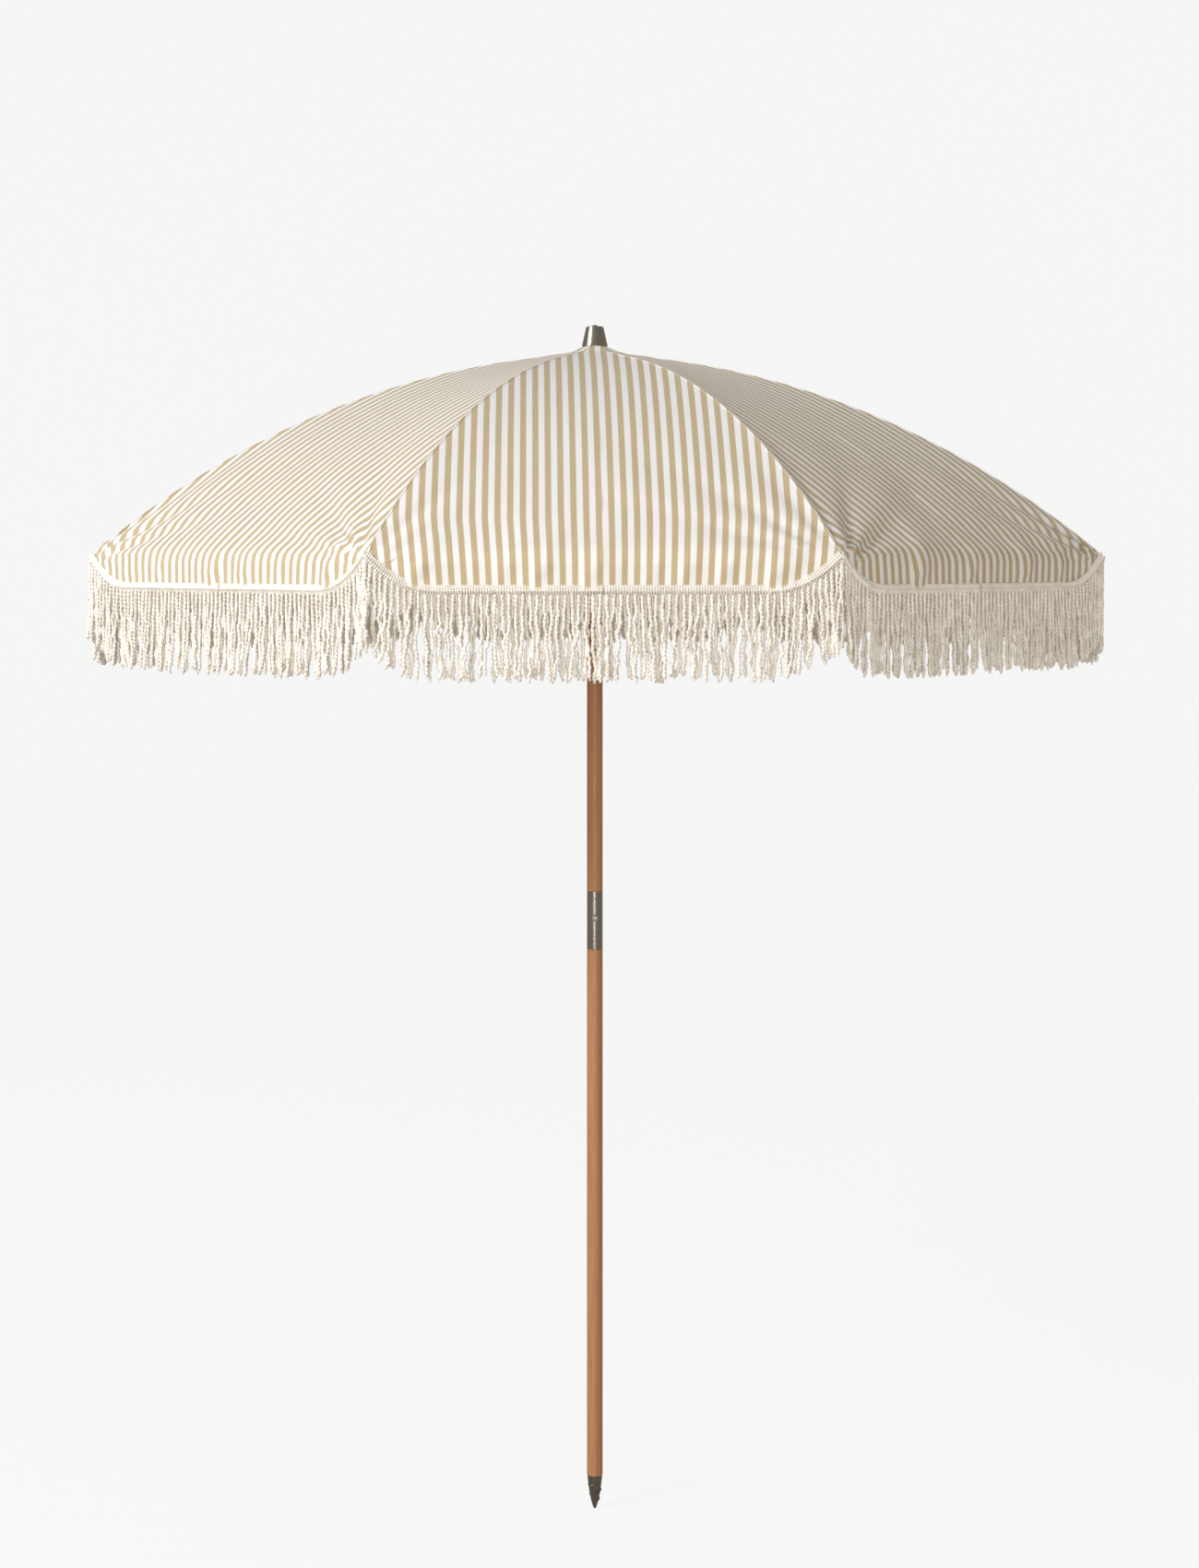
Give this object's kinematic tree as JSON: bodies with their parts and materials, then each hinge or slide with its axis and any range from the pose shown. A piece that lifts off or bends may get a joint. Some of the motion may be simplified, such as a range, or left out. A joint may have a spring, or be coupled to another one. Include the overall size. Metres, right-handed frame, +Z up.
{
  "type": "beach umbrella",
  "caption": "Beach umbrella with striped fringed canopy, folding steel ribs, sliding runner, two-part wooden pole with push-button joint and a ground screw.",
  "frame": {"origin": "bottom of the ground screw, on the pole's axis", "axes": "+Z up the pole; -Y is the front, where panel 1 and the push button face"},
  "size_m": [1.6634, 1.6634, 2.11],
  "materials": {
    "oiled_beech": "turned beech, oiled, satin",
    "brushed_steel": "brushed stainless steel",
    "dark_steel": "bead-blasted steel",
    "zinc_steel": "zinc-plated spring steel",
    "black_nylon": "moulded glass-filled nylon",
    "striped_canvas": "woven cotton canvas with beige and white stripes",
    "trim_cotton": "woven cotton braid",
    "fringe_cotton": "twisted cotton cords"
  },
  "bodies": {
    "lower_shaft": {"lower_pole": "oiled_beech", "ground_auger": "dark_steel", "auger_pin": "brushed_steel", "ferrule": "brushed_steel", "ferrule_pin": "brushed_steel", "snap_spring": "brushed_steel"},
    "push_button": {"snap_button": "brushed_steel"},
    "upper_shaft": {"upper_pole": "oiled_beech", "joint_sleeve": "brushed_steel", "sleeve_rivet": "dark_steel", "crown": "black_nylon", "crown_pins": "brushed_steel", "finial": "brushed_steel", "finial_screw": "brushed_steel", "cloth_washer": "trim_cotton", "catch_pin": "brushed_steel"},
    "slider": {"runner": "black_nylon", "runner_pins": "brushed_steel"},
    "latch": {"catch": "brushed_steel"},
    "rib_1": {"rib_1": "zinc_steel"},
    "stretcher_1": {"stretcher_1": "zinc_steel"},
    "rib_2": {"rib_2": "zinc_steel"},
    "stretcher_2": {"stretcher_2": "zinc_steel"},
    "rib_3": {"rib_3": "zinc_steel"},
    "stretcher_3": {"stretcher_3": "zinc_steel"},
    "rib_4": {"rib_4": "zinc_steel"},
    "stretcher_4": {"stretcher_4": "zinc_steel"},
    "rib_5": {"rib_5": "zinc_steel"},
    "stretcher_5": {"stretcher_5": "zinc_steel"},
    "rib_6": {"rib_6": "zinc_steel"},
    "stretcher_6": {"stretcher_6": "zinc_steel"},
    "rib_7": {"rib_7": "zinc_steel"},
    "stretcher_7": {"stretcher_7": "zinc_steel"},
    "rib_8": {"rib_8": "zinc_steel"},
    "stretcher_8": {"stretcher_8": "zinc_steel"},
    "panel_1_left": {"panel_1_left": "striped_canvas"},
    "panel_1_right": {"panel_1_right": "striped_canvas"},
    "panel_2_left": {"panel_2_left": "striped_canvas"},
    "panel_2_right": {"panel_2_right": "striped_canvas"},
    "panel_3_left": {"panel_3_left": "striped_canvas"},
    "panel_3_right": {"panel_3_right": "striped_canvas"},
    "panel_4_left": {"panel_4_left": "striped_canvas"},
    "panel_4_right": {"panel_4_right": "striped_canvas"},
    "panel_5_left": {"panel_5_left": "striped_canvas"},
    "panel_5_right": {"panel_5_right": "striped_canvas"},
    "panel_6_left": {"panel_6_left": "striped_canvas"},
    "panel_6_right": {"panel_6_right": "striped_canvas"},
    "panel_7_left": {"panel_7_left": "striped_canvas"},
    "panel_7_right": {"panel_7_right": "striped_canvas"},
    "panel_8_left": {"panel_8_left": "striped_canvas"},
    "panel_8_right": {"panel_8_right": "striped_canvas"},
    "fringe_1": {"fringe_1": "fringe_cotton"},
    "fringe_2": {"fringe_2": "fringe_cotton"},
    "fringe_3": {"fringe_3": "fringe_cotton"},
    "fringe_4": {"fringe_4": "fringe_cotton"},
    "fringe_5": {"fringe_5": "fringe_cotton"},
    "fringe_6": {"fringe_6": "fringe_cotton"},
    "fringe_7": {"fringe_7": "fringe_cotton"},
    "fringe_8": {"fringe_8": "fringe_cotton"}
  },
  "joints": [
    {"name": "button_press", "type": "slide", "parent": "lower_shaft", "child": "push_button", "axis": [0, 1, 0], "range_m": [0, 0.003], "stiffness_N_per_m": 400, "deforming": ["snap_spring"]},
    {"name": "pole_release", "type": "slide", "parent": "lower_shaft", "child": "upper_shaft", "axis": [0, 0, 1], "range_m": [0, 0.1], "deforming": ["snap_button", "snap_spring"]},
    {"name": "runner_slide", "type": "slide", "parent": "upper_shaft", "child": "slider", "axis": [0, 0, -1], "range_m": [0, 0.51157], "deforming": ["catch", "panel_1_left", "panel_1_right", "panel_2_left", "panel_2_right", "panel_3_left", "panel_3_right", "panel_4_left", "panel_4_right", "panel_5_left", "panel_5_right", "panel_6_left", "panel_6_right", "panel_7_left", "panel_7_right", "panel_8_left", "panel_8_right", "fringe_1", "fringe_2", "fringe_3", "fringe_4", "fringe_5", "fringe_6", "fringe_7", "fringe_8"]},
    {"name": "catch_press", "type": "hinge", "parent": "upper_shaft", "child": "latch", "pos_m": [0, -0.01, 1.62901], "axis": [-1, 0, 0], "range_deg": [0, 4.6], "stiffness_Nm_per_rad": 2},
    {"name": "rib_1_fold", "type": "hinge", "parent": "upper_shaft", "child": "rib_1", "pos_m": [-0.00842, -0.02032, 2.052], "axis": [0.9239, -0.3827, 0], "range_deg": [0, 64.44]},
    {"name": "stretcher_1_fold", "type": "hinge", "parent": "slider", "child": "stretcher_1", "pos_m": [-0.00815, -0.01968, 1.72741], "axis": [-0.9239, 0.3827, 0], "range_deg": [0, 46.03]},
    {"name": "rib_2_fold", "type": "hinge", "parent": "upper_shaft", "child": "rib_2", "pos_m": [0.00842, -0.02032, 2.052], "axis": [0.9239, 0.3827, 0], "range_deg": [0, 64.44]},
    {"name": "stretcher_2_fold", "type": "hinge", "parent": "slider", "child": "stretcher_2", "pos_m": [0.00815, -0.01968, 1.72741], "axis": [-0.9239, -0.3827, 0], "range_deg": [0, 46.03]},
    {"name": "rib_3_fold", "type": "hinge", "parent": "upper_shaft", "child": "rib_3", "pos_m": [0.02032, -0.00842, 2.052], "axis": [0.3827, 0.9239, 0], "range_deg": [0, 64.44]},
    {"name": "stretcher_3_fold", "type": "hinge", "parent": "slider", "child": "stretcher_3", "pos_m": [0.01968, -0.00815, 1.72741], "axis": [-0.3827, -0.9239, 0], "range_deg": [0, 46.03]},
    {"name": "rib_4_fold", "type": "hinge", "parent": "upper_shaft", "child": "rib_4", "pos_m": [0.02032, 0.00842, 2.052], "axis": [-0.3827, 0.9239, 0], "range_deg": [0, 64.44]},
    {"name": "stretcher_4_fold", "type": "hinge", "parent": "slider", "child": "stretcher_4", "pos_m": [0.01968, 0.00815, 1.72741], "axis": [0.3827, -0.9239, 0], "range_deg": [0, 46.03]},
    {"name": "rib_5_fold", "type": "hinge", "parent": "upper_shaft", "child": "rib_5", "pos_m": [0.00842, 0.02032, 2.052], "axis": [-0.9239, 0.3827, 0], "range_deg": [0, 64.44]},
    {"name": "stretcher_5_fold", "type": "hinge", "parent": "slider", "child": "stretcher_5", "pos_m": [0.00815, 0.01968, 1.72741], "axis": [0.9239, -0.3827, 0], "range_deg": [0, 46.03]},
    {"name": "rib_6_fold", "type": "hinge", "parent": "upper_shaft", "child": "rib_6", "pos_m": [-0.00842, 0.02032, 2.052], "axis": [-0.9239, -0.3827, 0], "range_deg": [0, 64.44]},
    {"name": "stretcher_6_fold", "type": "hinge", "parent": "slider", "child": "stretcher_6", "pos_m": [-0.00815, 0.01968, 1.72741], "axis": [0.9239, 0.3827, 0], "range_deg": [0, 46.03]},
    {"name": "rib_7_fold", "type": "hinge", "parent": "upper_shaft", "child": "rib_7", "pos_m": [-0.02032, 0.00842, 2.052], "axis": [-0.3827, -0.9239, 0], "range_deg": [0, 64.44]},
    {"name": "stretcher_7_fold", "type": "hinge", "parent": "slider", "child": "stretcher_7", "pos_m": [-0.01968, 0.00815, 1.72741], "axis": [0.3827, 0.9239, 0], "range_deg": [0, 46.03]},
    {"name": "rib_8_fold", "type": "hinge", "parent": "upper_shaft", "child": "rib_8", "pos_m": [-0.02032, -0.00842, 2.052], "axis": [0.3827, -0.9239, 0], "range_deg": [0, 64.44]},
    {"name": "stretcher_8_fold", "type": "hinge", "parent": "slider", "child": "stretcher_8", "pos_m": [-0.01968, -0.00815, 1.72741], "axis": [-0.3827, 0.9239, 0], "range_deg": [0, 46.03]},
    {"name": "panel_1_left_fold", "type": "hinge", "parent": "rib_1", "child": "panel_1_left", "pos_m": [-0.16344, 0.04389, 2.052], "axis": [0.013, 0.863, -0.5051], "range_deg": [0, 23.58]},
    {"name": "panel_1_right_fold", "type": "hinge", "parent": "rib_2", "child": "panel_1_right", "pos_m": [0.16344, 0.04389, 2.052], "axis": [0.013, -0.863, 0.5051], "range_deg": [0, 23.58]},
    {"name": "panel_2_left_fold", "type": "hinge", "parent": "rib_2", "child": "panel_2_left", "pos_m": [-0.1466, -0.08454, 2.052], "axis": [-0.601, 0.6194, -0.5051], "range_deg": [0, 23.58]},
    {"name": "panel_2_right_fold", "type": "hinge", "parent": "rib_3", "child": "panel_2_right", "pos_m": [0.08454, 0.1466, 2.052], "axis": [0.6194, -0.601, 0.5051], "range_deg": [0, 23.58]},
    {"name": "panel_3_left_fold", "type": "hinge", "parent": "rib_3", "child": "panel_3_left", "pos_m": [-0.04389, -0.16344, 2.052], "axis": [-0.863, 0.013, -0.5051], "range_deg": [0, 23.58]},
    {"name": "panel_3_right_fold", "type": "hinge", "parent": "rib_4", "child": "panel_3_right", "pos_m": [-0.04389, 0.16344, 2.052], "axis": [0.863, 0.013, 0.5051], "range_deg": [0, 23.58]},
    {"name": "panel_4_left_fold", "type": "hinge", "parent": "rib_4", "child": "panel_4_left", "pos_m": [0.08454, -0.1466, 2.052], "axis": [-0.6194, -0.601, -0.5051], "range_deg": [0, 23.58]},
    {"name": "panel_4_right_fold", "type": "hinge", "parent": "rib_5", "child": "panel_4_right", "pos_m": [-0.1466, 0.08454, 2.052], "axis": [0.601, 0.6194, 0.5051], "range_deg": [0, 23.58]},
    {"name": "panel_5_left_fold", "type": "hinge", "parent": "rib_5", "child": "panel_5_left", "pos_m": [0.16344, -0.04389, 2.052], "axis": [-0.013, -0.863, -0.5051], "range_deg": [0, 23.58]},
    {"name": "panel_5_right_fold", "type": "hinge", "parent": "rib_6", "child": "panel_5_right", "pos_m": [-0.16344, -0.04389, 2.052], "axis": [-0.013, 0.863, 0.5051], "range_deg": [0, 23.58]},
    {"name": "panel_6_left_fold", "type": "hinge", "parent": "rib_6", "child": "panel_6_left", "pos_m": [0.1466, 0.08454, 2.052], "axis": [0.601, -0.6194, -0.5051], "range_deg": [0, 23.58]},
    {"name": "panel_6_right_fold", "type": "hinge", "parent": "rib_7", "child": "panel_6_right", "pos_m": [-0.08454, -0.1466, 2.052], "axis": [-0.6194, 0.601, 0.5051], "range_deg": [0, 23.58]},
    {"name": "panel_7_left_fold", "type": "hinge", "parent": "rib_7", "child": "panel_7_left", "pos_m": [0.04389, 0.16344, 2.052], "axis": [0.863, -0.013, -0.5051], "range_deg": [0, 23.58]},
    {"name": "panel_7_right_fold", "type": "hinge", "parent": "rib_8", "child": "panel_7_right", "pos_m": [0.04389, -0.16344, 2.052], "axis": [-0.863, -0.013, 0.5051], "range_deg": [0, 23.58]},
    {"name": "panel_8_left_fold", "type": "hinge", "parent": "rib_8", "child": "panel_8_left", "pos_m": [-0.08454, 0.1466, 2.052], "axis": [0.6194, 0.601, -0.5051], "range_deg": [0, 23.58]},
    {"name": "panel_8_right_fold", "type": "hinge", "parent": "rib_1", "child": "panel_8_right", "pos_m": [0.1466, -0.08454, 2.052], "axis": [-0.601, -0.6194, 0.5051], "range_deg": [0, 23.58]},
    {"name": "fringe_1_hang", "type": "hinge", "parent": "rib_1", "child": "fringe_1", "pos_m": [-0.34074, -0.82263, 1.7], "axis": [-0.9239, 0.3827, 0], "range_deg": [0, 64.44]},
    {"name": "fringe_2_hang", "type": "hinge", "parent": "rib_2", "child": "fringe_2", "pos_m": [0.34074, -0.82263, 1.7], "axis": [-0.9239, -0.3827, 0], "range_deg": [0, 64.44]},
    {"name": "fringe_3_hang", "type": "hinge", "parent": "rib_3", "child": "fringe_3", "pos_m": [0.82263, -0.34074, 1.7], "axis": [-0.3827, -0.9239, 0], "range_deg": [0, 64.44]},
    {"name": "fringe_4_hang", "type": "hinge", "parent": "rib_4", "child": "fringe_4", "pos_m": [0.82263, 0.34074, 1.7], "axis": [0.3827, -0.9239, 0], "range_deg": [0, 64.44]},
    {"name": "fringe_5_hang", "type": "hinge", "parent": "rib_5", "child": "fringe_5", "pos_m": [0.34074, 0.82263, 1.7], "axis": [0.9239, -0.3827, 0], "range_deg": [0, 64.44]},
    {"name": "fringe_6_hang", "type": "hinge", "parent": "rib_6", "child": "fringe_6", "pos_m": [-0.34074, 0.82263, 1.7], "axis": [0.9239, 0.3827, 0], "range_deg": [0, 64.44]},
    {"name": "fringe_7_hang", "type": "hinge", "parent": "rib_7", "child": "fringe_7", "pos_m": [-0.82263, 0.34074, 1.7], "axis": [0.3827, 0.9239, 0], "range_deg": [0, 64.44]},
    {"name": "fringe_8_hang", "type": "hinge", "parent": "rib_8", "child": "fringe_8", "pos_m": [-0.82263, -0.34074, 1.7], "axis": [-0.3827, 0.9239, 0], "range_deg": [0, 64.44]}
  ],
  "couplings": [
    {"joint": "rib_1_fold", "follows": "runner_slide", "rad_per_m": 2.1967},
    {"joint": "stretcher_1_fold", "follows": "runner_slide", "rad_per_m": 1.5688},
    {"joint": "rib_2_fold", "follows": "runner_slide", "rad_per_m": 2.1967},
    {"joint": "stretcher_2_fold", "follows": "runner_slide", "rad_per_m": 1.5688},
    {"joint": "rib_3_fold", "follows": "runner_slide", "rad_per_m": 2.1967},
    {"joint": "stretcher_3_fold", "follows": "runner_slide", "rad_per_m": 1.5688},
    {"joint": "rib_4_fold", "follows": "runner_slide", "rad_per_m": 2.1967},
    {"joint": "stretcher_4_fold", "follows": "runner_slide", "rad_per_m": 1.5688},
    {"joint": "rib_5_fold", "follows": "runner_slide", "rad_per_m": 2.1967},
    {"joint": "stretcher_5_fold", "follows": "runner_slide", "rad_per_m": 1.5688},
    {"joint": "rib_6_fold", "follows": "runner_slide", "rad_per_m": 2.1967},
    {"joint": "stretcher_6_fold", "follows": "runner_slide", "rad_per_m": 1.5688},
    {"joint": "rib_7_fold", "follows": "runner_slide", "rad_per_m": 2.1967},
    {"joint": "stretcher_7_fold", "follows": "runner_slide", "rad_per_m": 1.5688},
    {"joint": "rib_8_fold", "follows": "runner_slide", "rad_per_m": 2.1967},
    {"joint": "stretcher_8_fold", "follows": "runner_slide", "rad_per_m": 1.5688},
    {"joint": "panel_1_left_fold", "follows": "runner_slide", "rad_per_m": 0.80278},
    {"joint": "panel_1_right_fold", "follows": "runner_slide", "rad_per_m": 0.80278},
    {"joint": "panel_2_left_fold", "follows": "runner_slide", "rad_per_m": 0.80278},
    {"joint": "panel_2_right_fold", "follows": "runner_slide", "rad_per_m": 0.80278},
    {"joint": "panel_3_left_fold", "follows": "runner_slide", "rad_per_m": 0.80278},
    {"joint": "panel_3_right_fold", "follows": "runner_slide", "rad_per_m": 0.80278},
    {"joint": "panel_4_left_fold", "follows": "runner_slide", "rad_per_m": 0.80278},
    {"joint": "panel_4_right_fold", "follows": "runner_slide", "rad_per_m": 0.80278},
    {"joint": "panel_5_left_fold", "follows": "runner_slide", "rad_per_m": 0.80278},
    {"joint": "panel_5_right_fold", "follows": "runner_slide", "rad_per_m": 0.80278},
    {"joint": "panel_6_left_fold", "follows": "runner_slide", "rad_per_m": 0.80278},
    {"joint": "panel_6_right_fold", "follows": "runner_slide", "rad_per_m": 0.80278},
    {"joint": "panel_7_left_fold", "follows": "runner_slide", "rad_per_m": 0.80278},
    {"joint": "panel_7_right_fold", "follows": "runner_slide", "rad_per_m": 0.80278},
    {"joint": "panel_8_left_fold", "follows": "runner_slide", "rad_per_m": 0.80278},
    {"joint": "panel_8_right_fold", "follows": "runner_slide", "rad_per_m": 0.80278},
    {"joint": "fringe_1_hang", "follows": "runner_slide", "rad_per_m": 2.1967},
    {"joint": "fringe_2_hang", "follows": "runner_slide", "rad_per_m": 2.1967},
    {"joint": "fringe_3_hang", "follows": "runner_slide", "rad_per_m": 2.1967},
    {"joint": "fringe_4_hang", "follows": "runner_slide", "rad_per_m": 2.1967},
    {"joint": "fringe_5_hang", "follows": "runner_slide", "rad_per_m": 2.1967},
    {"joint": "fringe_6_hang", "follows": "runner_slide", "rad_per_m": 2.1967},
    {"joint": "fringe_7_hang", "follows": "runner_slide", "rad_per_m": 2.1967},
    {"joint": "fringe_8_hang", "follows": "runner_slide", "rad_per_m": 2.1967}
  ]
}
